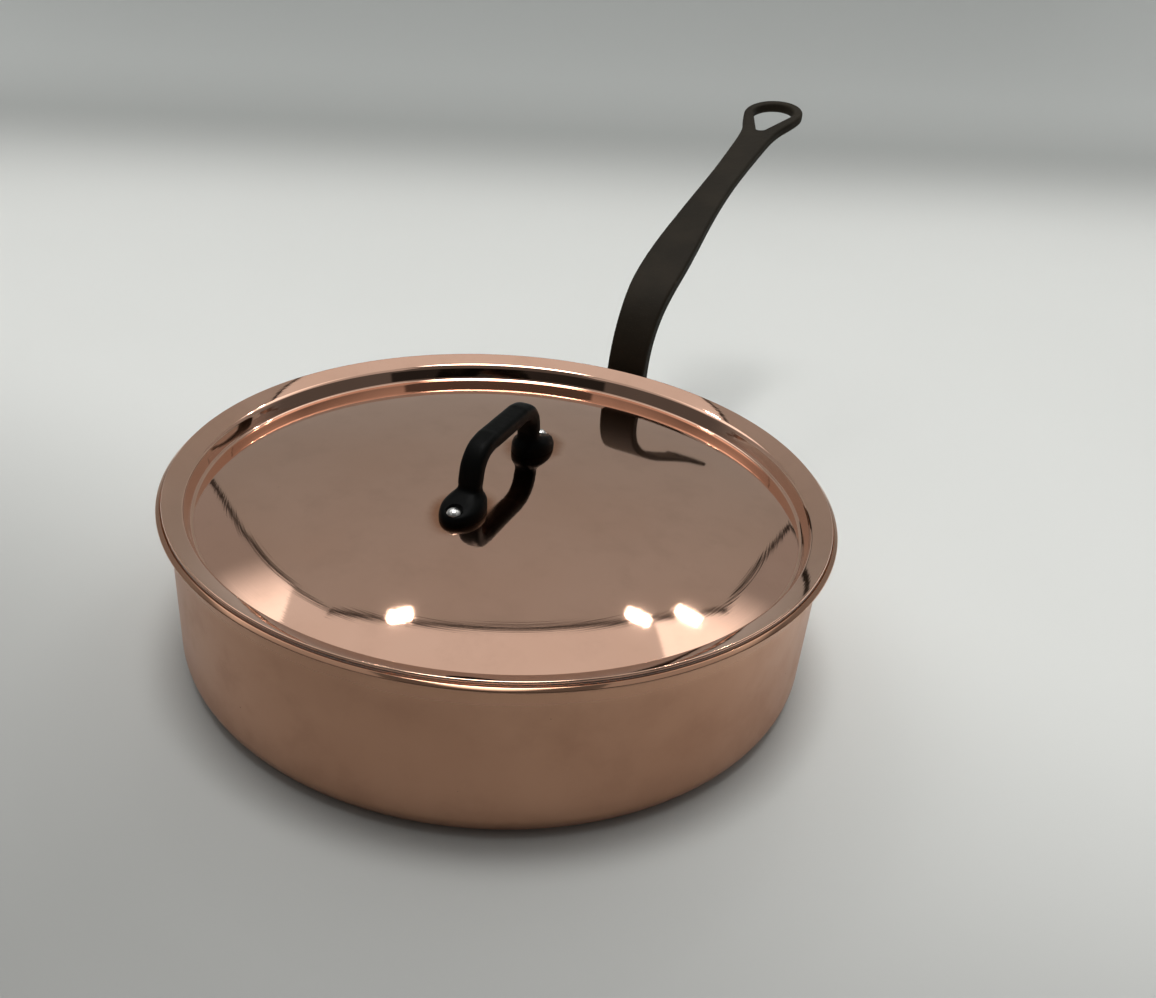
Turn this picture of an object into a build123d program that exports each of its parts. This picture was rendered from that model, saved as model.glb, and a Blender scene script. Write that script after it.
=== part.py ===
"""Copper saute pan with a riveted cast-iron handle, and its stepped copper lid.

Millimetres, +Z up. The origin is the middle of the base, on the surface that the pan stands on.
The long handle lies along +Y.
"""
import os
from math import asin, cos, radians, sin, sqrt, tan

from build123d import *

# Pan, which is one sheet of copper lined with steel
wall_r = 142.0  # outside radius of the upright wall
copper_t = 2.2
steel_t = 0.3
corner_r = 10.0  # outside radius between the base and the wall
lip_reach = 5.6  # how far the pouring lip's lower edge stands out past the wall
lip_z = 72.8  # height of that edge
lip_slope = 24.0  # degrees above level
flare_r = 3.5  # outside radius of the bend into the lip
rim_round = 0.8  # on both edges of the copper, all round the lip
lining_under = 0.6  # how far the lining's edge lies in under the lid's

# Lid, of thinner sheet, stepped down into the pan
lid_copper_t = 1.2
lid_steel_t = 0.3
lid_inset = 2.7  # from the lip's edge in to the lid's
lid_gap = 0.3  # upright gap between the lid and the lip that carries it
fold_clear = 3.8  # from the pan's bore in to where the flange's slope meets the step
step_angle = 74.0  # degrees above level
dome_inset = 3.5  # from that fold in to the dome's edge
dome_drop = 7.6  # from the lip's edge down to it
dome_rise = 10.2
fold_round = 3.2
crease_round = 1.6

# Rivets
rivet_shank_r = 3.0
rivet_inner_head_r = 5.8
rivet_outer_head_r = 4.8
rivet_head_h = 2.4
lid_rivet_shank_r = 2.0
lid_rivet_inner_head_r = 4.0
lid_rivet_outer_head_r = 3.2
lid_rivet_head_h = 2.2
head_rim = 0.4
touching = 0.01
head_seat = 0.3  # how deep a head reaches below its flat before it is fitted to the sheet

# Flange plate of the long handle
plate_t = 4.5
plate_round = 1.6
plate_corner_r = 10.5
upper_rivets_drop = 22.8  # from the lip's edge down to the two upper rivets
lower_rivet_z = 25.0
upper_rivet_turn = 6.7  # degrees round the pan, to each side

# Arm of the long handle, seen from the side
lip_clear = 2.0  # from the lip to the arm that passes it
arm_lip_drop = 0.3  # from the lip's edge down to where the arm's upper face bends away
arm_start_rise = 8.0  # from the upper rivets up to where that face leaves the plate
arm_foot_drop = 17.0  # from the upper rivets down to where the underside leaves it
arm_foot_angle = 70.0  # degrees above level, of the underside where it meets the plate
riser_angle = 86.4  # degrees above level
riser_bend_r = 54.6
shoulder_angle = 23.6
shoulder_bend_r = 648.0
end_angle = 14.0
arm_root_t = 8.4
arm_end_t = 6.0
arm_edge_round = 1.7

# Arm seen from above
arm_reach = 263.4  # from the lip to the tip
ring_r = 19.4  # outside radius of the end, round the hanging eye
eye_r = 13.0
eye_point_r = 3.2
eye_length = 26.5  # between the centres of the eye's two round ends
arm_root_w = 21.4
arm_wide_w = 25.0
arm_waist_w = 18.4
wide_y_share = 0.15  # shares of the way from the lip to the eye's centre
waist_y_share = 0.6
flare_y_share = 0.9
flare_w_share = 0.68  # of the ring's width
mean_y_shares = (0.36, 0.77)
mean_w_shares = (0.5, 0.22)  # of the way from the waist to the widths on either side
ring_turn_share = 0.12  # of a quarter turn, where the ring leaves the arm
underside_shares = (0.62, 0.45, 0.3, 0.16, 0.07, 0)  # of the way along the arm: its taper ends at the first

# Loop handle of the lid
lid_turn = 1.8  # degrees, how the lid lies turned from the long handle
loop_w = 9.0
loop_rise = 28.2  # from the top of the dome to the top of the loop
loop_bar_t = 7.0
loop_leg_t = 6.4
loop_leg_out = 32.8  # from the middle to the outside of a leg
loop_bend_r = 15.0
loop_top_round = 1.5
loop_under_round = 2.4
foot_w = 18.6
foot_l = 26.4
foot_offset = 2.6  # from the outside of a leg out to the centre of its foot
rivet_inset = 5.0  # from the foot's outer end in to its rivet
foot_h = 5.0
foot_round = 3.9
foot_blend_r = 4.0
foot_seat_h = 4.0  # height of the flat that is sunk into a foot for the rivet's head
foot_seat_r = 3.4

# Worked out from the sizes above
wall_t = copper_t + steel_t
lid_t = lid_copper_t + lid_steel_t
lip_r = wall_r + lip_reach
lid_r = lip_r - lid_inset
lip_top_r = lip_r - wall_t * sin(radians(lip_slope))
lining_inset = (lip_top_r - lid_r + lining_under) / cos(radians(lip_slope))
fold_r = wall_r - wall_t - fold_clear
dome_edge_r = fold_r - dome_inset
dome_edge_z = lip_z - dome_drop
plate_r = wall_r + plate_t
upper_rivets_z = lip_z - upper_rivets_drop
arm_lip_z = lip_z - arm_lip_drop
arm_start_z = upper_rivets_z + arm_start_rise
arm_foot_z = upper_rivets_z - arm_foot_drop
tip_y = lip_r + arm_reach
loop_top_z = dome_edge_z + dome_rise + loop_rise
foot_out = loop_leg_out + foot_offset
loop_rivet_out = foot_out + foot_l / 2 - rivet_inset
dome_r = (dome_edge_r**2 + dome_rise**2) / (2 * dome_rise)
dome_centre_z = dome_edge_z + dome_rise - dome_r
overrun = foot_l  # longer than any hole is deep


def meet(point_a, angle_a, point_b, angle_b):
    """Where two lines in a section meet, each given by a point and its angle in degrees."""
    ax, az = cos(radians(angle_a)), sin(radians(angle_a))
    bx, bz = cos(radians(angle_b)), sin(radians(angle_b))
    dx, dz = point_b[0] - point_a[0], point_b[1] - point_a[1]
    along = (dx * bz - dz * bx) / (ax * bz - az * bx)
    return (point_a[0] + along * ax, point_a[1] + along * az)


def sink(point, angle, depth):
    """A point on the line that lies this far below a line rising outwards at this angle."""
    return (point[0] + depth * sin(radians(angle)), point[1] - depth * cos(radians(angle)))


def round_corners(corners):
    """Round corners of the section that is being drawn: each is a point and a radius."""
    for (x, z), radius in corners:
        fillet(vertices().sort_by_distance((x, z))[0], radius)


def rivet_line(turn, height):
    """A plane on the pan's axis that looks outwards along a rivet."""
    outwards = (sin(radians(turn)), cos(radians(turn)), 0)
    return Plane(origin=(0, 0, height), x_dir=(outwards[1], -outwards[0], 0), z_dir=outwards)


handle_rivets = {
    "handle_rivet_left": rivet_line(-upper_rivet_turn, upper_rivets_z),
    "handle_rivet_right": rivet_line(upper_rivet_turn, upper_rivets_z),
    "handle_rivet_lower": rivet_line(0, lower_rivet_z),
}


# The pan's shell and lining: the same section at different depths below the outside face
def pan_corners(depth, inset):
    """Corner points of the pan's section, this deep below its outside face, with its lip this much shorter."""
    lip_end = sink((lip_r, lip_z), lip_slope, -depth)
    lip_edge = (lip_end[0] - inset * cos(radians(lip_slope)), lip_end[1] - inset * sin(radians(lip_slope)))
    wall_foot = (wall_r - depth, depth)
    wall_top = meet(wall_foot, 90, lip_edge, lip_slope)
    return wall_foot, wall_top, lip_edge


def pan_layer(outer_depth, inner_depth, inset, edge_round):
    """One layer of the pan's wall, with the holes of the handle's rivets."""
    out_foot, out_top, out_lip = pan_corners(outer_depth, inset)
    in_foot, in_top, in_lip = pan_corners(inner_depth, inset)
    with BuildPart() as layer:
        with BuildSketch(Plane.XZ):
            with BuildLine():
                Polyline((0, outer_depth), out_foot, out_top, out_lip, in_lip, in_top, in_foot, (0, inner_depth),
                         close=True)
            make_face()
            round_corners([(out_foot, corner_r - outer_depth), (out_top, flare_r + outer_depth),
                           (in_foot, corner_r - inner_depth), (in_top, flare_r + inner_depth)])
            if edge_round:
                round_corners([(out_lip, edge_round), (in_lip, edge_round)])
        revolve(axis=Axis.Z)
        for line in handle_rivets.values():
            with BuildSketch(line):
                Circle(rivet_shank_r)
            extrude(amount=plate_r, mode=Mode.SUBTRACT)
    return layer.part


pan_copper_shell = pan_layer(0, copper_t, 0, rim_round)
pan_steel_lining = pan_layer(copper_t, wall_t, lining_inset, 0)


# The lid's shell and lining: a shallow dome, a step and a sloping flange
def dome_height(r, depth):
    """Height of the dome's face at this radius, this deep below its upper face."""
    return dome_centre_z + sqrt((dome_r - depth) ** 2 - r**2)


def lid_corners(depth):
    """Corner points of the lid's section, this deep below its upper face."""
    lip_top = sink((lip_r, lip_z), lip_slope, -wall_t)
    under_rim = (lid_r, lip_top[1] + lid_gap + (lid_r - lip_top[0]) * tan(radians(lip_slope)))
    rim = sink(under_rim, lip_slope, depth - lid_t)
    fold_top = meet(sink(under_rim, lip_slope, -lid_t), lip_slope, (fold_r, 0), 90)
    step = sink(fold_top, step_angle, depth)
    fold = meet(step, step_angle, rim, lip_slope)
    slope = tan(radians(step_angle))
    rise = step[1] - slope * step[0] - dome_centre_z
    half_b = slope * rise / (1 + slope**2)
    crease_r = -half_b + sqrt(half_b**2 - (rise**2 - (dome_r - depth) ** 2) / (1 + slope**2))
    return (crease_r, dome_height(crease_r, depth)), fold, rim


def lid_layer(upper_depth, lower_depth):
    """One layer of the lid, with the holes of its handle's rivets."""
    upper = lid_corners(upper_depth)
    lower = lid_corners(lower_depth)
    with BuildPart() as layer:
        with BuildSketch(Plane.XZ):
            with BuildLine():
                Polyline(*upper, *reversed(lower))
                for (crease, depth) in ((upper[0], upper_depth), (lower[0], lower_depth)):
                    middle = crease[0] / 2
                    ThreePointArc((0, dome_height(0, depth)), (middle, dome_height(middle, depth)), crease)
                Line((0, dome_height(0, upper_depth)), (0, dome_height(0, lower_depth)))
            make_face()
            for corners, depth in ((upper, upper_depth), (lower, lower_depth)):
                crease, fold, rim = corners
                round_corners([(crease, crease_round + depth), (fold, fold_round - depth)])
        revolve(axis=Axis.Z)
        for line in lid_rivets.values():
            with BuildSketch(line):
                Circle(lid_rivet_shank_r)
            extrude(amount=overrun, both=True, mode=Mode.SUBTRACT)
    return layer.part


def dome_line(out):
    """A plane that touches the top of the lid's dome this far out along the lid's handle."""
    lean = asin(out / dome_r)
    outwards = (0, sin(lean), cos(lean))
    return Plane(origin=(0, out, dome_height(out, 0)), x_dir=(1, 0, 0), z_dir=outwards)


lid_rivets = {"lid_rivet_front": dome_line(-loop_rivet_out), "lid_rivet_back": dome_line(loop_rivet_out)}
lid_copper_shell = lid_layer(0, lid_copper_t)
lid_steel_lining = lid_layer(lid_copper_t, lid_t)


# Long handle: the arm, drawn from the side and from above, and the flange plate
arm_y = lip_r + lip_clear
eye_y = tip_y - ring_r
arm_length = eye_y - arm_y
riser_direction = (cos(radians(riser_angle)), sin(radians(riser_angle)))


def below(path, share):
    """The point of the arm's underside across from a point of its upper face."""
    along = path % share
    taper = max(0, 1 - share / underside_shares[0])
    return (path @ share) + Vector(along.Y, -along.X) * (arm_end_t + (arm_root_t - arm_end_t) * taper)


with BuildPart() as arm:
    with BuildSketch(Plane.YZ.offset(-2 * ring_r)):
        with BuildLine():
            with BuildLine() as upper_face:
                Line(meet((arm_y, arm_lip_z), riser_angle, (0, arm_start_z), 0), (arm_y, arm_lip_z))
                riser = JernArc((arm_y, arm_lip_z), riser_direction, riser_bend_r, shoulder_angle - riser_angle)
                shoulder = JernArc(riser @ 1, riser % 1, shoulder_bend_r, end_angle - shoulder_angle)
                Line(shoulder @ 1, meet(tuple(shoulder @ 1)[:2], end_angle, (tip_y + arm_end_t, 0), 90))
            path = upper_face.wires()[0]
            tip_bottom = below(path, 1)
            foot = (plate_r, arm_foot_z)
            Line(path @ 1, tip_bottom)
            flat = Line(tip_bottom, below(path, underside_shares[0]))
            foot_direction = (-cos(radians(arm_foot_angle)), -sin(radians(arm_foot_angle)))
            Spline(flat @ 1, *[below(path, share) for share in underside_shares[1:]], foot,
                   tangents=[flat % 1, foot_direction])
            Polyline(foot, (wall_r, arm_foot_z), (wall_r, arm_start_z), (plate_r, arm_start_z), path @ 0)
        make_face()
    extrude(amount=4 * ring_r)
    with BuildSketch(Plane.XY):
        with BuildLine():
            flare_w = 2 * ring_r * flare_w_share
            ring_turn = ring_turn_share * 90
            ring_side = (ring_r * cos(radians(ring_turn)), eye_y - ring_r * sin(radians(ring_turn)))
            mean_w = [arm_waist_w + (width - arm_waist_w) * share
                      for width, share in zip((arm_wide_w, flare_w), mean_w_shares)]
            side = Spline(
                (arm_root_w / 2, wall_r),
                (arm_root_w / 2, arm_y),
                (arm_wide_w / 2, arm_y + arm_length * wide_y_share),
                (mean_w[0] / 2, arm_y + arm_length * mean_y_shares[0]),
                (arm_waist_w / 2, arm_y + arm_length * waist_y_share),
                (mean_w[1] / 2, arm_y + arm_length * mean_y_shares[1]),
                (flare_w / 2, arm_y + arm_length * flare_y_share),
                ring_side,
                tangents=[(0, 1), (sin(radians(ring_turn)), cos(radians(ring_turn)))],
            )
            ThreePointArc(ring_side, (0, tip_y), (-ring_side[0], ring_side[1]))
            mirror(side, about=Plane.YZ)
            Line((-arm_root_w / 2, wall_r), (arm_root_w / 2, wall_r))
        make_face()
    extrude(amount=2 * tip_y, mode=Mode.INTERSECT)
    with BuildSketch(Plane.XY):
        with Locations((0, eye_y)):
            Circle(eye_r)
        with Locations((0, eye_y - eye_length)):
            Circle(eye_point_r)
        make_hull()
    extrude(amount=2 * tip_y, mode=Mode.SUBTRACT)
    long_edges = edges() - edges().filter_by(GeomType.LINE)
    fillet(long_edges.filter_by(lambda edge: edge.center().Z > arm_start_z), arm_edge_round)

with BuildPart() as long_handle:
    with BuildSketch(Plane.XZ):
        with Locations((wall_r + plate_t / 2, (upper_rivets_z + lower_rivet_z) / 2)):
            Rectangle(plate_t, 2 * upper_rivets_z)
    revolve(axis=Axis.Z)
    with BuildSketch(Plane.XZ):
        side_x = wall_r * sin(radians(upper_rivet_turn))
        with Locations((-side_x, upper_rivets_z), (side_x, upper_rivets_z), (0, lower_rivet_z)):
            Circle(plate_corner_r)
        make_hull()
    extrude(amount=-2 * wall_r, mode=Mode.INTERSECT)
    outer_face = faces().sort_by(Axis.Y)[-1]
    fillet(outer_face.edges(), plate_round)
    add(arm.part)
    for line in handle_rivets.values():
        with BuildSketch(line):
            Circle(rivet_shank_r)
        extrude(amount=plate_r + plate_t, mode=Mode.SUBTRACT)


# Lid handle: a loop on two rounded feet that are cut to the dome
loop_inner_out = loop_leg_out - loop_leg_t
loop_inner_z = loop_top_z - loop_bar_t
with BuildPart() as lid_loop:
    with BuildSketch(Plane.YZ.offset(-loop_w / 2)):
        with BuildLine():
            outline = FilletPolyline((-loop_leg_out, dome_edge_z), (-loop_leg_out, loop_top_z),
                                     (loop_leg_out, loop_top_z), (loop_leg_out, dome_edge_z), radius=loop_bend_r)
            gap = FilletPolyline((-loop_inner_out, dome_edge_z), (-loop_inner_out, loop_inner_z),
                                 (loop_inner_out, loop_inner_z), (loop_inner_out, dome_edge_z),
                                 radius=loop_bend_r - loop_leg_t)
            Line(outline @ 0, gap @ 0)
            Line(outline @ 1, gap @ 1)
        make_face()
    extrude(amount=loop_w)
    rims = edges() - edges().filter_by(Axis.X) - edges().group_by(Axis.Z)[0]
    gap_rims = rims.filter_by(lambda edge: abs(edge.center().Y) < loop_inner_out + touching
                              and edge.center().Z < loop_inner_z + touching)
    fillet(rims - gap_rims, loop_top_round)
    gap_rims = edges().filter_by(lambda edge: abs(abs(edge.center().X) - loop_w / 2) < touching
                                 and abs(edge.center().Y) < loop_inner_out + touching
                                 and dome_edge_z + touching < edge.center().Z < loop_inner_z + touching)
    fillet(gap_rims, loop_under_round)


def on_foot_top(edge):
    """Whether an edge lies in the flat top of one of the feet."""
    return any(abs((edge.center() - line.offset(foot_h).origin).dot(line.z_dir)) < touching
               for line in lid_rivets.values())


with BuildPart() as lid_handle:
    for line, side in zip(lid_rivets.values(), (1, -1)):
        with BuildSketch(line.offset(-foot_h)):
            with Locations((0, side * (loop_rivet_out - foot_out))):
                SlotOverall(foot_l, foot_w, rotation=90)
        extrude(amount=2 * foot_h)
    fillet(edges().filter_by(on_foot_top), foot_round)
    foot_edges = edges()
    add(lid_loop.part)
    with Locations((0, 0, dome_centre_z)):
        Sphere(dome_r, mode=Mode.SUBTRACT)
    fillet((edges() - foot_edges).filter_by(on_foot_top), foot_blend_r)
    for line in lid_rivets.values():
        with BuildSketch(line):
            Circle(lid_rivet_shank_r)
        extrude(amount=foot_h, both=True, mode=Mode.SUBTRACT)
        with BuildSketch(line.offset(foot_seat_h)):
            Circle(foot_seat_r)
        extrude(amount=foot_h, mode=Mode.SUBTRACT)


def rivet(line, ends, shank_r, head_rs, head_h, seats, sheet):
    """A rivet along the plane's normal, with a domed head at each end that is fitted to the sheet."""
    first = line.offset(ends[0])
    flipped = Plane(origin=first.origin, x_dir=first.x_dir, z_dir=-first.z_dir)
    with BuildPart() as piece:
        for end, head_r, seat in zip((flipped, line.offset(ends[1])), head_rs, seats):
            with BuildSketch(Plane(origin=end.origin, x_dir=end.x_dir, z_dir=end.x_dir.cross(end.z_dir))):
                with BuildLine():
                    Polyline((0, head_h), (0, -seat), (head_r, -seat), (head_r, head_rim))
                    crown_r = (head_r**2 + (head_h - head_rim) ** 2) / (2 * (head_h - head_rim))
                    RadiusArc((head_r, head_rim), (0, head_h), -crown_r)
                make_face()
            revolve(axis=Axis(end.origin, end.z_dir))
        add(sheet, mode=Mode.SUBTRACT)
        with BuildSketch(line.offset(ends[0] - head_rim)):
            Circle(shank_r)
        extrude(amount=ends[1] - ends[0] + 2 * head_rim)
    return piece.part


with BuildPart() as pan_wall:
    Cylinder(plate_r, 2 * lip_z)
    Cylinder(wall_r - wall_t, 2 * lip_z, mode=Mode.SUBTRACT)

with BuildPart() as lid_dome:
    with Locations((0, 0, dome_centre_z)):
        Sphere(dome_r)
        Sphere(dome_r - lid_t, mode=Mode.SUBTRACT)

pieces = {
    "pan_copper_shell": pan_copper_shell,
    "pan_steel_lining": pan_steel_lining,
    "long_handle": long_handle.part,
}
for name, line in handle_rivets.items():
    pieces[name] = rivet(line, (wall_r - wall_t, plate_r), rivet_shank_r,
                         (rivet_inner_head_r, rivet_outer_head_r), rivet_head_h,
                         (head_seat, head_seat), pan_wall.part)
lid_pieces = {
    "lid_copper_shell": lid_copper_shell,
    "lid_steel_lining": lid_steel_lining,
    "lid_handle": lid_handle.part,
}
for name, line in lid_rivets.items():
    lid_pieces[name] = rivet(line, (-lid_t, foot_seat_h), lid_rivet_shank_r,
                             (lid_rivet_inner_head_r, lid_rivet_outer_head_r), lid_rivet_head_h,
                             (head_seat, 0), lid_dome.part)
for name, piece in lid_pieces.items():
    pieces[name] = piece.rotate(Axis.Z, lid_turn)

os.makedirs("parts", exist_ok=True)
for name, piece in pieces.items():
    piece.label = name
    export_step(piece, f"parts/{name}.step")
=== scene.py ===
# %% [markdown]
# # A copper saute pan with its lid
#
# The real pan is spun from one disc of copper, lined with a thin skin of stainless steel, and carries a
# cast-iron handle on three rivets. Its lid is a thinner spun disc that steps down into the pan, with a small
# cast loop on two rivets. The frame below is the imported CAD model: every piece of it keeps its place here,
# and this lesson gives the pieces their finish, their rounded rims and their light.

from math import asin, cos, pi, radians, sin, sqrt, tan

import bmesh
import bpy
from mathutils import Matrix, Vector


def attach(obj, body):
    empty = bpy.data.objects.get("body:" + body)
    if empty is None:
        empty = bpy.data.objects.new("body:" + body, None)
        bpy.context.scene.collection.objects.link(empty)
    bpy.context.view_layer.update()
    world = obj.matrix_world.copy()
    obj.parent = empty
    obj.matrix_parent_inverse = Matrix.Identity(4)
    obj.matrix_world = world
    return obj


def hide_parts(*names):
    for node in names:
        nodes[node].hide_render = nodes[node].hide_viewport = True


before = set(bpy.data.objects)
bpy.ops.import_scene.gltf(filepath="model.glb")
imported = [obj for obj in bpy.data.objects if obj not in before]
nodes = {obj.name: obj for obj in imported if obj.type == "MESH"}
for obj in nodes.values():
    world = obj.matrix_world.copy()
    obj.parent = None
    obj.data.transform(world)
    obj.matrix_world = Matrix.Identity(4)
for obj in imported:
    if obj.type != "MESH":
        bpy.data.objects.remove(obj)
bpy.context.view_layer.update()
print("the packed model holds", len(nodes), "pieces:", ", ".join(sorted(nodes)))

# %% [markdown]
# ## Two helpers for node trees
#
# Materials and Geometry Nodes are both trees of nodes. `Tree` adds a node of any type in one call: first
# its settings, such as a Math node's operation, then the values or links of its sockets. `Socket` wraps what
# comes out, so that `1 - mask * 0.4` in Python adds the Math nodes that it needs.


# %% Node helpers
class Socket:
    """What a node gives, which can be used in Python sums."""

    def __init__(self, tree, node, socket):
        self.tree, self.node, self.socket = tree, node, socket

    def out(self, name):
        """Another output of the same node."""
        return Socket(self.tree, self.node, self.node.outputs[name])

    def maths(self, operation, *values):
        return self.tree.node("ShaderNodeMath", dict(enumerate(values)), operation=operation)

    def __add__(self, other):
        return self.maths("ADD", self, other)

    def __sub__(self, other):
        return self.maths("SUBTRACT", self, other)

    def __rsub__(self, other):
        return self.maths("SUBTRACT", other, self)

    def __mul__(self, other):
        return self.maths("MULTIPLY", self, other)

    def __truediv__(self, other):
        return self.maths("DIVIDE", self, other)

    __radd__, __rmul__ = __add__, __mul__


class Tree:
    """A node tree in the making."""

    def __init__(self, tree):
        self.tree = tree

    def node(self, kind, values=None, output=0, **settings):
        """Add a node: first its settings, then the values or links of its inputs."""
        node = self.tree.nodes.new(kind)
        for name, value in settings.items():
            setattr(node, name, value)
        for name, value in (values or {}).items():
            if isinstance(value, Socket):
                self.tree.links.new(value.socket, node.inputs[name])
            else:
                node.inputs[name].default_value = value
        return Socket(self, node, node.outputs[output]) if len(node.outputs) else node

    def ramp(self, value, low, high):
        """0 below low, 1 above high, and smooth between."""
        return self.node("ShaderNodeMapRange", {"Value": value, "From Min": low, "From Max": high},
                         interpolation_type="SMOOTHSTEP")


print("helpers are ready: Tree adds nodes, Socket does the sums")

# %% [markdown]
# ## Finishes
#
# Polished copper is a clean metal mirror, so nearly all of its look is what it reflects. What makes it real
# is small: wipe marks that blur the mirror a little, faint rings left by the spinning lathe, a few tiny
# pits, and a brown halo round each place where an iron foot sits on the lid. Each of these changes the
# colour, the roughness or the bump by only a little. The lid is kept as a bright mirror, while the pan is
# more satin, and its copper is darker and browner: partly a browner tarnish and partly painted shade that
# darkens its wall. All patterns read Object coordinates, so they stay with the metal.


# %% Finish helpers
class Finish(Tree):
    """A material in the making, on Object coordinates."""

    def __init__(self, name):
        self.material = bpy.data.materials.new(name)
        self.material.use_nodes = True
        super().__init__(self.material.node_tree)
        self.tree.nodes.clear()
        self.place = self.node("ShaderNodeTexCoord", output="Object")
        self.x = self.node("ShaderNodeSeparateXYZ", {0: self.place})
        self.y, self.z = self.x.out("Y"), self.x.out("Z")

    def noise(self, scale, detail=2.0, vector=None, roughness=0.5):
        return self.node("ShaderNodeTexNoise", {"Vector": vector or self.place, "Scale": scale,
                                                "Detail": detail, "Roughness": roughness})

    def turned(self):
        """A place that is the same all round the axis, for what a lathe leaves."""
        radius = self.x.maths("SQRT", self.x * self.x + self.y * self.y)
        return self.node("ShaderNodeCombineXYZ", {0: radius, 1: 0.0, 2: self.z})

    def bump(self, height, strength, distance):
        return self.node("ShaderNodeBump", {"Strength": strength, "Distance": distance, "Height": height})

    def mix(self, share, colour_a, colour_b):
        a = colour_a if isinstance(colour_a, Socket) else (*colour_a, 1.0)
        b = colour_b if isinstance(colour_b, Socket) else (*colour_b, 1.0)
        return self.node("ShaderNodeMix", {0: share, 6: a, 7: b}, output=2, data_type="RGBA")

    def finish(self, values):
        shader = self.node("ShaderNodeBsdfPrincipled", values)
        self.node("ShaderNodeOutputMaterial", {"Surface": shader})
        return self.material


# %% Copper
foot_halo_colour, stain_colour, pit_colour = (0.40, 0.14, 0.045), (0.38, 0.19, 0.11), (0.10, 0.05, 0.03)
foot_half_w, foot_half_l = 0.0093, 0.0132


def foot_halo(metal, place, turn, uneven):
    """How strong the brown halo is round one foot of the loop, which is an oval on the lid."""
    away = metal.node("ShaderNodeVectorMath", {0: metal.place, 1: place}, operation="SUBTRACT")
    away = metal.node("ShaderNodeVectorRotate", {"Vector": away, "Angle": -turn}, rotation_type="Z_AXIS")
    away = metal.node("ShaderNodeVectorMath", {0: away, 1: (1 / foot_half_w, 1 / foot_half_l, 0.0)},
                      operation="MULTIPLY")
    reach = metal.node("ShaderNodeVectorMath", {0: away}, output="Value", operation="LENGTH")
    return 1 - metal.ramp(reach + (uneven - 0.5) * 0.9, 1.02, 1.7)


def copper(name, clean, worn, polish, satin=0.0, stains=0.0, feet=()):
    """Copper: its clean and worn colours, how rough its polish is and its satin below the lip.

    Stains are dark clouds, and each foot is a place and a turn, with a brown halo round it.
    """
    metal = Finish(name)
    wiped = metal.noise(16.0, 3.0)
    cloudy = metal.noise(48.0, 4.0, roughness=0.6)
    rings = metal.noise(1500.0, 2.0, metal.turned())
    pits = metal.node("ShaderNodeTexVoronoi", {"Vector": metal.place, "Scale": 60.0})
    pit = 1 - metal.ramp(pits, 0.010, 0.024)
    colour = metal.mix(metal.ramp(wiped, 0.35, 0.7), clean, worn)
    colour = metal.mix(metal.ramp(cloudy, 0.45, 0.8) * 0.4, colour, tuple(0.86 * part for part in worn))
    roughness = polish + 0.5 * polish * metal.ramp(wiped, 0.4, 0.75) + 0.3 * polish * cloudy + 0.25 * pit
    if satin:
        below_lip = 1 - metal.ramp(metal.z, 0.060, 0.069)
        roughness = roughness + below_lip * (satin + 0.06 * metal.ramp(cloudy, 0.4, 0.7))
    if stains:
        stain = metal.ramp(metal.noise(11.0, 1.0), 0.56, 0.80)
        colour = metal.mix(stain * stains, colour, stain_colour)
        roughness = roughness + stain * (0.2 * stains)
    if feet:
        # A brown halo is darkened into the copper round each foot of the loop.
        halo = sum(foot_halo(metal, place, turn, cloudy) for place, turn in feet)
        colour = metal.mix(halo * 0.7, colour, foot_halo_colour)
        roughness = roughness + halo * 0.10
    colour = metal.mix(pit * 0.6, colour, pit_colour)
    return metal.finish({"Base Color": colour, "Metallic": 1.0, "Roughness": roughness,
                         "Normal": metal.bump(rings * 0.5 + wiped * 3.0, 0.02, 0.0005)})


# %% Steel
def turned_steel(name, ring_scale, roughness, colour):
    """Stainless steel with the fine circles of its brushing."""
    metal = Finish(name)
    rings = metal.noise(ring_scale, 3.0, metal.turned())
    cloudy = metal.noise(70.0, 3.0)
    dull = tuple(0.82 * part for part in colour)
    shade = metal.mix(metal.ramp(cloudy, 0.4, 0.7) * 0.5 + rings * 0.3, colour, dull)
    rough = roughness + rings * 0.12 + cloudy * 0.06
    return metal.finish({"Base Color": shade, "Metallic": 1.0, "Roughness": rough,
                         "Normal": metal.bump(rings, 0.08, 0.0004)})


# %% Cast iron
def cast_iron(name, dark, pale, roughness, grain, shine):
    """Dark cast iron: a fine sand-cast grain, and browner patches spread at random."""
    iron = Finish(name)
    sand = iron.noise(1500.0, 3.0, roughness=0.65)
    lumps = iron.noise(240.0, 3.0)
    patches = iron.noise(35.0, 3.0)
    colour = iron.mix(iron.ramp(patches, 0.35, 0.7), dark, pale)
    colour = iron.mix(iron.ramp(sand, 0.55, 0.75) * 0.35, colour, tuple(2.2 * part for part in pale))
    edge = iron.node("ShaderNodeNewGeometry", output="Pointiness")
    colour = iron.mix(iron.ramp(edge, 0.52, 0.60) * 0.5, colour, tuple(2.6 * part for part in pale))
    rough = roughness + (patches - 0.5) * 0.16 + (sand - 0.5) * 0.12
    return iron.finish({"Base Color": colour, "Metallic": 0.0, "Roughness": rough,
                        "Normal": iron.bump(sand * 0.5 + lumps * 1.5, grain, 0.0005),
                        "Specular IOR Level": shine})


print("finishes are ready: copper, turned steel and cast iron")

# %% [markdown]
# ## Spun sheet
#
# A spun pan is a flat section turned about an upright axis, and so is its lid. One Geometry Nodes tree does
# the same: it takes the section as a line of points, lays out a grid with one row for each point and rolls
# that grid round the axis. Merging the points that meet closes the seam and the middle of the disc. The
# section itself is drawn in Python from corner points with radii, as a draughtsman would.


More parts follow.
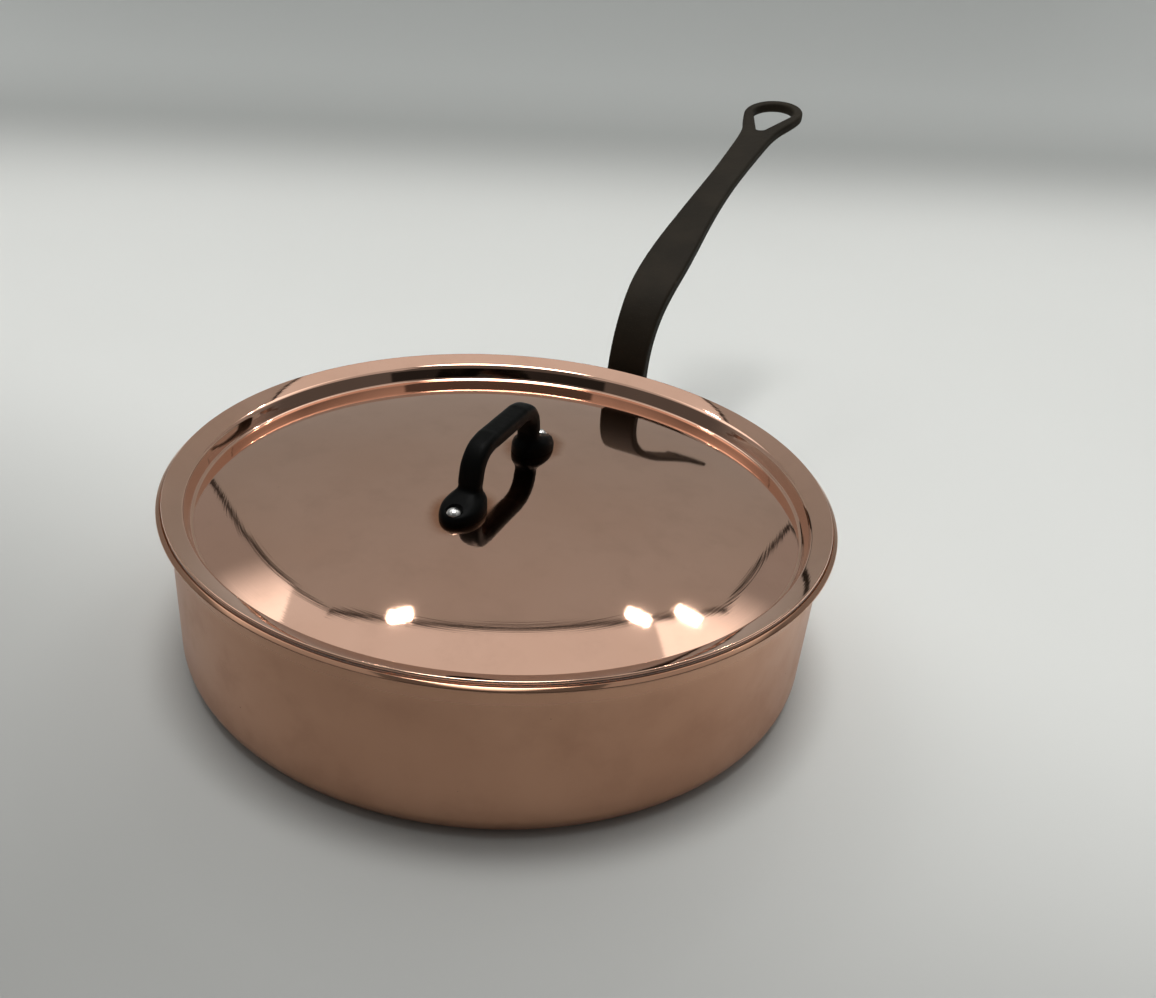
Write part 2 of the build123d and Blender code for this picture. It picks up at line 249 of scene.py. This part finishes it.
# %% Spinning tree
def spinning_tree():
    """A Geometry Nodes tree that turns a line of points (distance from the axis, 0, height) about Z."""
    group = bpy.data.node_groups.new("spun sheet", "GeometryNodeTree")
    for name, kind in (("Section", "Geometry"), ("Steps", "Int"), ("Metal", "Material")):
        group.interface.new_socket(name, in_out="INPUT", socket_type="NodeSocket" + kind)
    group.interface.new_socket("Sheet", in_out="OUTPUT", socket_type="NodeSocketGeometry")
    tree = Tree(group)
    given = tree.node("NodeGroupInput", output="Section")
    rows = tree.node("GeometryNodeAttributeDomainSize", {0: given}, output="Point Count", component="MESH")
    grid = tree.node("GeometryNodeMeshGrid", {"Size X": 1.0, "Size Y": 1.0, "Vertices Y": rows,
                                              "Vertices X": given.out("Steps") + 1.0})
    place = tree.node("GeometryNodeInputPosition")
    across = tree.node("ShaderNodeSeparateXYZ", {0: place})
    row = (across.out("Y") + 0.5) * (rows - 1.0)
    point = tree.node("GeometryNodeSampleIndex", {0: given, 1: place, 2: row.maths("ROUND", row)},
                      data_type="FLOAT_VECTOR")
    parts = tree.node("ShaderNodeSeparateXYZ", {0: point})
    turn = (across + 0.5) * (2 * pi)
    rolled = tree.node("ShaderNodeCombineXYZ", {0: parts * turn.maths("COSINE", turn),
                                                1: parts * turn.maths("SINE", turn), 2: parts.out("Z")})
    sheet = tree.node("GeometryNodeSetPosition", {"Geometry": grid, "Position": rolled})
    sheet = tree.node("GeometryNodeMergeByDistance", {"Geometry": sheet, "Distance": 1e-6})
    sheet = tree.node("GeometryNodeSetShadeSmooth", {0: sheet})
    sheet = tree.node("GeometryNodeRealizeInstances", {0: sheet})
    sheet = tree.node("GeometryNodeSetMaterial", {"Geometry": sheet, "Material": given.out("Metal")})
    tree.node("NodeGroupOutput", {"Sheet": sheet})
    return group


spinning = spinning_tree()
print("spinning tree has", len(spinning.nodes), "nodes")


# %% Section helpers
mm_in_m = 1000


def meet(point_a, angle_a, point_b, angle_b):
    """Where two lines in a section meet, each given by a point and its angle in degrees."""
    ax, az = cos(radians(angle_a)), sin(radians(angle_a))
    bx, bz = cos(radians(angle_b)), sin(radians(angle_b))
    dx, dz = point_b[0] - point_a[0], point_b[1] - point_a[1]
    along = (dx * bz - dz * bx) / (ax * bz - az * bx)
    return (point_a[0] + along * ax, point_a[1] + along * az)


def sink(point, angle, depth):
    """A point that lies this far below a line rising outwards at this angle."""
    return (point[0] + depth * sin(radians(angle)), point[1] - depth * cos(radians(angle)))


def drawn(corners, step=radians(7.0)):
    """The line through these corners, each a point and a radius, with its arcs in small steps."""
    line = []
    for k, (corner, radius) in enumerate(corners):
        here = Vector(corner)
        if not radius or k in (0, len(corners) - 1):
            line.append(here)
            continue
        back = (Vector(corners[k - 1][0]) - here).normalized()
        on = (Vector(corners[k + 1][0]) - here).normalized()
        half = back.angle(on) / 2
        centre = here + (back + on).normalized() * (radius / sin(half))
        start, end = here + back * (radius / tan(half)), here + on * (radius / tan(half))
        arms = (start - centre, end - centre)
        turn = arms[0].angle_signed(arms[1])
        count = max(2, int(abs(turn) / step) + 1)
        for i in range(count + 1):
            line.append(centre + Matrix.Rotation(-turn * i / count, 2) @ arms[0])
    return line


def spread(line, longest):
    """The same line with its long runs divided, so that the rings of the sheet stay close."""
    dense = [line[0]]
    for a, b in zip(line, line[1:]):
        if (b - a).length < 1e-9:
            continue
        count = int((b - a).length / longest) + 1
        dense += [a.lerp(b, (i + 1) / count) for i in range(count)]
    return dense


def spun(name, line, metal, body, replaced, steps=256):
    """Turn a section in millimetres into a sheet that stands for CAD nodes."""
    mesh = bpy.data.meshes.new(name)
    mesh.from_pydata([(point[0] / mm_in_m, 0.0, point[1] / mm_in_m) for point in line],
                     [(i, i + 1) for i in range(len(line) - 1)], [])
    piece = bpy.data.objects.new(name, mesh)
    bpy.context.scene.collection.objects.link(piece)
    modifier = piece.modifiers.new("spinning", "NODES")
    modifier.node_group = spinning
    inputs = {item.name: item.identifier for item in spinning.interface.items_tree if item.in_out == "INPUT"}
    modifier[inputs["Steps"]] = steps
    modifier[inputs["Metal"]] = metal
    plain = bpy.data.meshes.new_from_object(piece.evaluated_get(bpy.context.evaluated_depsgraph_get()))
    piece.modifiers.clear()
    piece.data = plain
    plain.name = name
    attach(piece, body)
    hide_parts(*replaced)
    print(name, "has", len(plain.polygons), "faces")
    return piece


# %% [markdown]
# ## The pan
#
# The pan's section is a flat base, a corner of 10 mm, an upright wall and a lip that flares out to pour. The
# copper outside and the steel inside are the same section at different depths, so one function draws both.
# The rim of the copper is filed to a bevel that faces up and outwards, and its edges have a small radius. The
# lining stops a little short of it, so that with the lid on only copper shows.

# %% Pan sizes
wall_r, corner_r = 142.0, 10.0
copper_t, steel_t = 2.2, 0.3
lip_edge, lip_slope, flare_r = (147.6, 72.8), 24.0, 3.5
rim_round, lip_bevel = 0.6, 1.5
wall_t = copper_t + steel_t
lining_inset = 2.5
pan_ring_gap, lid_ring_gap = 6.0, 5.0
print("the lip is", round(2 * lip_edge[0]), "mm across and the wall", wall_t, "mm thick")


def pan_face(depth, inset):
    """Corners of the pan's section this deep below its outside face, from the middle to the lip."""
    end = sink(lip_edge, lip_slope, -depth)
    lip = (end[0] - inset * cos(radians(lip_slope)), end[1] - inset * sin(radians(lip_slope)))
    foot = (wall_r - depth, depth)
    top = meet(foot, 90, lip, lip_slope)
    return [((0, depth), 0), (foot, corner_r - depth), (top, flare_r + depth), (lip, 0)]


def pan_section(outer, inner, inset, bevel, rim):
    """A closed section between two depths."""
    out, back = pan_face(outer, inset), pan_face(inner, inset + bevel)
    out[-1] = (out[-1][0], rim)
    back[-1] = (back[-1][0], rim)
    return spread(drawn(out + back[::-1]), pan_ring_gap)


# %% Pan
# The pan's copper is darker and browner than the lid's: partly a browner tarnish and partly painted shade
# that darkens its wall.
pan_tarnish_and_painted_shade, pan_worn_tarnish_and_painted_shade = (0.57, 0.325, 0.215), (0.52, 0.29, 0.19)
lining_colour, lining_rings = (0.62, 0.61, 0.59), 900.0
pan_copper = spun("pan_copper", pan_section(0, copper_t, 0, lip_bevel, rim_round),
                  copper("pan copper", pan_tarnish_and_painted_shade, pan_worn_tarnish_and_painted_shade, 0.05, satin=0.30, stains=0.3),
                  "pan", ["pan_copper_shell"])
pan_lining = spun("pan_lining", pan_section(copper_t, wall_t, lining_inset, 0, 0),
                  turned_steel("pan lining steel", lining_rings, 0.22, lining_colour),
                  "pan", ["pan_steel_lining"])

# %% [markdown]
# ## The lid
#
# The lid drops into the pan: a sloping flange rests on the lip, a step goes down inside it and a shallow dome
# fills the middle. In the polished metal the two small bends of the step do most of the work: each one bends
# the reflections into a bright ring, and the dome shows the step once more as a darker ring inside it.

# %% Lid sizes
lid_copper_t, lid_steel_t = 1.2, 0.3
lid_t = lid_copper_t + lid_steel_t
lid_r, lid_gap, fold_r = 144.9, 0.3, 135.7
step_angle = 74.0
dome_edge, dome_rise = (132.2, 65.2), 10.2
fold_round, crease_round, lid_rim_round, lid_lining_inset = 3.2, 1.6, 0.45, 1.0
dome_r = (dome_edge[0] ** 2 + dome_rise**2) / (2 * dome_rise)
dome_centre_z = dome_edge[1] + dome_rise - dome_r
crease_clear = 3.0
print("the dome's radius is", round(dome_r), "mm")


def lid_face(depth, inset, rim):
    """Corners of the lid's section this deep below its upper face, from the dome's edge to the rim."""
    lip_top = sink(lip_edge, lip_slope, -wall_t)
    under_rim = (lid_r, lip_top[1] + lid_gap + (lid_r - lip_top[0]) * tan(radians(lip_slope)))
    edge = sink(under_rim, lip_slope, depth - lid_t)
    fold_top = meet(sink(under_rim, lip_slope, -lid_t), lip_slope, (fold_r, 0), 90)
    step = sink(fold_top, step_angle, depth)
    fold = meet(step, step_angle, edge, lip_slope)
    slope = tan(radians(step_angle))
    rise = step[1] - slope * step[0] - dome_centre_z
    half_b = slope * rise / (1 + slope**2)
    crease_r = -half_b + sqrt(half_b**2 - (rise**2 - (dome_r - depth) ** 2) / (1 + slope**2))
    crease = (crease_r, dome_height(crease_r, depth))
    edge = (edge[0] - inset * cos(radians(lip_slope)), edge[1] - inset * sin(radians(lip_slope)))
    return [(crease, crease_round + depth), (fold, fold_round - depth), (edge, rim)]


def dome_height(r, depth=0.0):
    """Height of the dome's face at this radius."""
    return dome_centre_z + sqrt((dome_r - depth) ** 2 - r**2)


def dome_run(depth, out_to, count=30):
    """Points of the dome from the middle to just inside its edge."""
    return [((out_to * i / count, dome_height(out_to * i / count, depth)), 0) for i in range(count + 1)]


def lid_section(upper, lower, inset, rim):
    """A closed section between two depths."""
    near_edge = dome_edge[0] - crease_clear
    top = dome_run(upper, near_edge) + lid_face(upper, inset, rim)
    under = dome_run(lower, near_edge) + lid_face(lower, inset, rim)
    return spread(drawn(top + under[::-1]), lid_ring_gap)


# %% Lid
lid_turn = radians(1.8)
foot_out = 35.4
lid_feet = [((-side * foot_out * sin(lid_turn) / mm_in_m, side * foot_out * cos(lid_turn) / mm_in_m,
              dome_height(foot_out) / mm_in_m), lid_turn) for side in (-1, 1)]
bright, bright_worn = (0.82, 0.52, 0.39), (0.79, 0.49, 0.36)
lid_copper = spun("lid_copper", lid_section(lid_copper_t, 0, 0, lid_rim_round)[::-1],
                  copper("lid copper", bright, bright_worn, 0.028, feet=lid_feet),
                  "lid", ["lid_copper_shell"])
lid_lining = spun("lid_lining", lid_section(lid_t, lid_copper_t, lid_lining_inset, 0)[::-1],
                  turned_steel("lid lining steel", lining_rings, 0.25, lining_colour),
                  "lid", ["lid_steel_lining"])

# %% [markdown]
# ## The lid's loop handle
#
# The loop is a small casting: a boxy bar for two fingers, legs that round off, and feet that swell like eggs
# until they meet the dome. Its shape changes all the way along, so it is lofted: a table gives the middle,
# the lean and the section at a few stations, a smooth curve fills the stations in, and each station becomes
# a ring of points. A section is half its thickness, half its width and how boxy it is, where 2 is an oval.
# Round each rivet the foot is faced flat with a cutter, so that the rivet's head sits down.

# %% Loop stations
bar_z, bend_y, bend_z, bend_r = 99.6, 16.6, 87.0, 12.6
bar_section, bend_section, leg_section = (3.95, 5.2, 3.2), (3.95, 5.15, 3.0), (3.9, 5.0, 2.9)
leg_y, leg_z, upright = 29.4, 84.6, 90.0
foot_dips = ((29.9, 8.4, 4.5, 5.2, 2.8), (31.4, 6.9, 6.4, 6.2, 2.6), (33.2, 5.5, 9.4, 7.7, 2.3),
             (34.7, 4.1, 12.0, 8.7, 2.1), (35.3, 2.5, 13.0, 9.1, 2.0), (foot_out, 1.0, 13.15, 9.25, 2.0),
             (foot_out, 0.0, 13.15, 9.25, 2.0))
stations = [(y, bar_z, 0.0, *bar_section) for y in (0.0, 6.0, 12.0)]
stations += [(bend_y + bend_r * sin(radians(lean)), bend_z + bend_r * cos(radians(lean)), lean, *bend_section)
             for lean in (0.0, 30.0, 60.0, upright)]
stations += [(leg_y, leg_z, upright, *leg_section)]
stations += [(y, dome_height(y) + rise, upright, *section) for y, rise, *section in foot_dips]
fills = 10
foot_from = (len(stations) - len(foot_dips)) * fills


def filled(rows, count):
    """A smooth curve through rows of numbers, with this many steps between them."""
    ends = [rows[0]] + list(rows) + [rows[-1]]
    line = []
    for k in range(len(rows) - 1):
        for i in range(count):
            s = i / count
            line.append(tuple(0.5 * (2 * b + (c - a) * s + (2 * a - 5 * b + 4 * c - d) * s**2
                                     + (3 * b - a - 3 * c + d) * s**3) for a, b, c, d in zip(*ends[k:k + 4])))
    return line + [tuple(rows[-1])]


print("the loop has", len(stations), "stations on each side")


# %% Loop handle
def loop_ring(station, side, on_dome, count=96):
    """One ring of points of the loop, in millimetres."""
    y, z, lean, half_t, half_w, boxy = station
    out_y, out_z = side * sin(radians(lean)), cos(radians(lean))
    ring = []
    for k in range(count):
        angle = 2 * pi * k / count
        wide = half_w * abs(cos(angle)) ** (2 / boxy) * (1 if cos(angle) >= 0 else -1)
        thick = half_t * abs(sin(angle)) ** (2 / boxy) * (1 if sin(angle) >= 0 else -1)
        point = Vector((wide, side * y + thick * out_y, z + thick * out_z))
        point.z += on_dome * (dome_height(point.xy.length) - dome_height(y))
        ring.append(point)
    return ring


rivet_out, seat_r, seat_h, seat_from = 43.6, 3.5, 4.0, 1.5


def faced(point):
    """The point, brought to the flat round the rivet where it lies under the cutter."""
    for side in (-1, 1):
        lean = asin(rivet_out / dome_r)
        axis = Vector((0, side * sin(lean), cos(lean)))
        from_axis = point - Vector((0, side * rivet_out, dome_height(rivet_out)))
        height = from_axis.dot(axis)
        if (from_axis - axis * height).length < seat_r and height > seat_from:
            return point + axis * (seat_h - height)
    return point


half = filled(stations, fills)
rings = []
for side in (-1, 1):
    run = list(enumerate(half))
    for index, station in run[::-1] if side < 0 else run[1:]:
        rings.append(loop_ring(station, side, min(1.0, max(0.0, (index - foot_from + fills) / fills))))
loop_mesh = bmesh.new()
spin = Matrix.Rotation(lid_turn, 3, "Z")
rows = [[loop_mesh.verts.new(spin @ faced(point) / mm_in_m) for point in ring] for ring in rings]
for row, following in zip(rows, rows[1:]):
    for k in range(len(row)):
        loop_mesh.faces.new((row[k - 1], row[k], following[k], following[k - 1]))
for row in (rows[0], rows[-1]):
    loop_mesh.faces.new(row)
bmesh.ops.recalc_face_normals(loop_mesh, faces=loop_mesh.faces[:])
loop_data = bpy.data.meshes.new("lid_loop")
loop_mesh.to_mesh(loop_data)
loop_data.shade_smooth()
loop_data.set_sharp_from_angle(angle=radians(50.0))
lid_loop = bpy.data.objects.new("lid_loop", loop_data)
bpy.context.scene.collection.objects.link(lid_loop)
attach(lid_loop, "lid")
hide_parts("lid_handle")
print("lid_loop has", len(loop_data.polygons), "faces")

# %% [markdown]
# ## Iron and rivets
#
# The CAD model already has the right shapes for the long casting and the five rivets, so they stay as they
# are. What they need is a finish: the long handle is olive brown and dull, the small loop is blacker and
# smoother, and the rivets are bright steel.

# %% Iron and rivets
olive, olive_pale = (0.019, 0.015, 0.010), (0.028, 0.022, 0.015)
black, black_pale = (0.0018, 0.0019, 0.0018), (0.0034, 0.0036, 0.0034)
rivet_colour, rivet_rings = (0.72, 0.71, 0.69), 2500.0
finishes = {"long_handle": cast_iron("long handle iron", olive, olive_pale, 0.62, 0.22, 0.08)}
rivet_steel = turned_steel("rivet steel", rivet_rings, 0.16, rivet_colour)
for name, node in nodes.items():
    if "rivet" in name:
        finishes[name] = rivet_steel
for name, finish in finishes.items():
    nodes[name].data.materials.clear()
    nodes[name].data.materials.append(finish)
lid_loop.data.materials.append(cast_iron("loop iron", black, black_pale, 0.42, 0.18, 0.04))
print("finished", len(finishes) + 1, "pieces of iron and steel")

# %% [markdown]
# ## Studio and camera
#
# The pan stands in a light tent: a pale sheet that runs from the floor up the back wall, side walls of thin
# cloth, and a roof that glows. Polished metal shows its surroundings more than itself, so the tent is made
# with care. Its back wall is a calm grey, which is painted shade, with a painted glow that grows towards its
# top; its roof and the upper side walls are brighter, and a dark rail and two poles draw a fine line between
# them. The floor is painted darker towards the front and left and lighter towards the back and right: painted
# shade and painted light. The left pole leans in towards its top. The room beyond the tent's open front is
# dark, which gives the step of the lid its depth. The middle of the roof does most of the lighting, so the
# pan has a soft shadow close to its foot, and three small lamps under the rail only add small bright marks to
# the polished lid. All of these sizes are in metres.

# %% Tent
tent_turn = radians(-29.0)
tent_ahead = Vector((sin(tent_turn), cos(tent_turn), 0.0))
tent_across = Vector((cos(tent_turn), -sin(tent_turn), 0.0))
wall_out, wall_top, wall_arch, arch_middle, arch_steps = 1.12, 1.53, 0.66, 0.05, 16
floor_front, floor_half_w, sweep_bend, sweep_top = -4.0, 4.0, 0.5, 0.5
corner_left, corner_right = -0.44, 0.745
left_pole = ((-0.57, sweep_top), (-0.57, 0.83), (-0.547, 1.05), (-0.502, 1.234), (-0.456, 1.338))
rail_r, pole_r = 0.015, 0.006


def in_tent(across, ahead, z):
    """A place given by how far it is to the right, towards the back wall and up."""
    return tent_across * across + tent_ahead * ahead + Vector((0, 0, z))


def staged(name, points, faces, material):
    """Make a piece of the studio, which isn't a part of the pan."""
    mesh = bpy.data.meshes.new(name)
    mesh.from_pydata(points, [], faces)
    mesh.shade_smooth()
    mesh.materials.append(material)
    piece = bpy.data.objects.new(name, mesh)
    bpy.context.scene.collection.objects.link(piece)
    return piece


def sweep(material):
    """A floor that bends up towards the back wall."""
    corners = [((floor_front, 0), 0), ((wall_out, 0), sweep_bend), ((wall_out, sweep_top), 0)]
    line = drawn(corners, radians(3.0))
    points = [in_tent(side, ahead, z) for ahead, z in line for side in (-floor_half_w, floor_half_w)]
    faces = [(k, k + 1, k + 3, k + 2) for k in range(0, 2 * len(line) - 2, 2)]
    return staged("sweep", points, faces, material)


def rail(name, places, radius, material, sides=12):
    """A round bar through these places."""
    points = []
    for k, place in enumerate(places):
        along = (places[min(k + 1, len(places) - 1)] - places[max(k - 1, 0)]).normalized()
        first = along.cross(tent_ahead).normalized() * radius
        points += [place + Matrix.Rotation(2 * pi * i / sides, 3, along) @ first for i in range(sides)]
    faces = []
    for low in range(0, len(points) - sides, sides):
        faces += [(low + i, low + (i + 1) % sides, low + sides + (i + 1) % sides, low + sides + i)
                  for i in range(sides)]
    return staged(name, points, faces, material)


# %% Paper of the tent
paper_front_painted_shade, paper_back_painted_light, wall_painted_shade = (0.34, 0.343, 0.333), (0.78, 0.79, 0.77), (0.34, 0.35, 0.34)
painted_glow_low, painted_glow_high = (0.17, 0.177, 0.173), (0.27, 0.27, 0.265)
paper = Finish("pale paper")
# The floor is painted darker towards the front and left and lighter towards the back and right: painted shade
# and painted light in the paper's colour, with a faint cloudy tone on top.
painted_light_way = 0.8 * tent_ahead + 0.45 * tent_across
painted_light_place = paper.x * painted_light_way.x + paper.y * painted_light_way.y
paper_tone_and_painted_light = paper.mix(paper.ramp(painted_light_place, -0.25, 0.12), paper_front_painted_shade, paper_back_painted_light)
clouds = paper.ramp(paper.noise(3.0, 2.0), 0.35, 0.65)
paper_tone_and_painted_light = paper.mix(clouds * 0.05, paper_tone_and_painted_light, (1.0, 1.0, 1.0))
# The paper turns a darker grey up the back wall: painted shade.
paper_tone_and_painted_light = paper.mix(paper.ramp(paper.z, 0.005, 0.07), paper_tone_and_painted_light, wall_painted_shade)
# The paper glows, more the higher it is: a painted glow, as the paper is no lamp.
paper_painted_glow = paper.mix(paper.ramp(paper.z, 0.01, 0.12), (0.0, 0.0, 0.0), painted_glow_low)
paper_painted_glow = paper.mix(paper.ramp(paper.z, 0.2, 1.6), paper_painted_glow, painted_glow_high)
pale_paper = paper.finish({"Base Color": paper_tone_and_painted_light, "Roughness": 0.8, "Emission Color": paper_painted_glow,
                           "Emission Strength": 1.0})
frame_black = Finish("frame black").finish({"Base Color": (0.05, 0.04, 0.035, 1.0), "Roughness": 0.6})

# %% Walls and rails
sweep(pale_paper)
arch = [corner_left + (corner_right - corner_left) * k / arch_steps for k in range(arch_steps + 1)]
arch_top = [in_tent(across, wall_out, wall_top - wall_arch * (across - arch_middle) ** 2) for across in arch]
left_edge = [in_tent(across, wall_out, z) for across, z in left_pole] + arch_top[:1]
right_edge = [arch_top[-1], in_tent(corner_right, wall_out, sweep_top)]
wall_outline = left_edge + arch_top[1:] + right_edge[1:]
staged("back wall", wall_outline, [tuple(range(len(wall_outline)))], pale_paper)
for name, places, radius in (("top rail", arch_top, rail_r), ("left pole", left_edge, pole_r),
                             ("right pole", right_edge, pole_r)):
    rail(name, places, radius, frame_black)
print("the tent's back wall stands", wall_out, "m behind the pan")


# %% Glow of the tent
side_out, front_out, roof_up = 0.577, 0.6, 1.5


def tent_glow():
    """A world that is as bright in each direction as the tent's cloth is there.

    A direction meets the wall that it reaches first, which is the one with the largest share of it.
    """
    world = bpy.data.worlds.new("tent cloth")
    world.use_nodes = True
    tree = Tree(world.node_tree)
    tree.tree.nodes.clear()
    x = tree.node("ShaderNodeSeparateXYZ", {0: tree.node("ShaderNodeTexCoord", output="Generated")})
    y, z = x.out("Y"), x.out("Z")
    ahead = x * tent_ahead.x + y * tent_ahead.y
    across = x * tent_across.x + y * tent_across.y
    side = across.maths("ABSOLUTE", across) / side_out
    front = ahead * (-1 / front_out)
    walls = side.maths("MAXIMUM", side, front)
    roof = z / roof_up
    is_roof = tree.ramp(roof - walls, -0.005, 0.005)
    is_front = tree.ramp(front - side, -0.03, 0.03)
    cloth = (0.30 + 1.20 * tree.ramp(z, 0.58, 0.70)) * (0.32 + 0.68 * tree.ramp(ahead, 0.0, 0.5))
    room = 0.24 - 0.22 * tree.ramp(z, 0.09, 0.17) + 0.08 * tree.ramp(z, 0.20, 0.34)
    level = cloth * (1 - is_front) + room * is_front
    glow = (0.70 + 15.5 * tree.ramp(z, 0.965, 0.985)) * (0.22 + 0.78 * tree.ramp(ahead, -0.08, 0.06))
    level = level * (1 - is_roof) + glow * is_roof
    sky = tree.node("ShaderNodeBackground", {"Color": (1.0, 1.0, 0.985, 1.0), "Strength": level})
    tree.node("ShaderNodeOutputWorld", {"Surface": sky})
    return world


bpy.context.scene.world = tent_glow()
print("the world glows like the tent's cloth, in", len(bpy.context.scene.world.node_tree.nodes), "nodes")


# %% Lamps
lamp_places = {"left lamp": (-0.456, 0.498, 0.922), "right lamp": (-0.028, 0.741, 0.880),
               "far right lamp": (0.057, 0.795, 0.843)}
lamp_size, lamp_watts, lamp_colour = (0.045, 0.022), 0.22, (1.0, 0.99, 0.97)
looked_at = Vector((0, 0, 0.07))
for name, place in lamp_places.items():
    data = bpy.data.lights.new(name, "AREA")
    data.shape, data.size, data.size_y = "RECTANGLE", *lamp_size
    data.energy, data.color = lamp_watts, lamp_colour
    lamp = bpy.data.objects.new(name, data)
    lamp.location = place
    lamp.rotation_euler = (looked_at - lamp.location).to_track_quat("-Z", "Y").to_euler()
    bpy.context.scene.collection.objects.link(lamp)
print(len(lamp_places), "lamps of", lamp_watts, "W hang under the rail")

# %% Camera
camera_place = Vector((0.186753, -0.381164, 0.300975))
looks_along, camera_up = Vector((-0.37595, 0.783546, -0.494688)), Vector((-0.266889, 0.419671, 0.867552))
lens = bpy.data.cameras.new("camera")
lens.lens, lens.sensor_width, lens.sensor_fit = 33.648, 36.0, "HORIZONTAL"
lens.shift_x, lens.shift_y = 0.0624, 0.0077
lens.clip_start = 0.01
camera = bpy.data.objects.new("camera", lens)
turned_to = Matrix((looks_along.cross(camera_up), camera_up, -looks_along)).transposed().to_4x4()
camera.matrix_world = Matrix.Translation(camera_place) @ turned_to
bpy.context.scene.collection.objects.link(camera)
bpy.context.scene.camera = camera
bpy.context.scene.view_settings.view_transform = "Standard"
print("camera stands at", [round(v, 3) for v in camera.location])
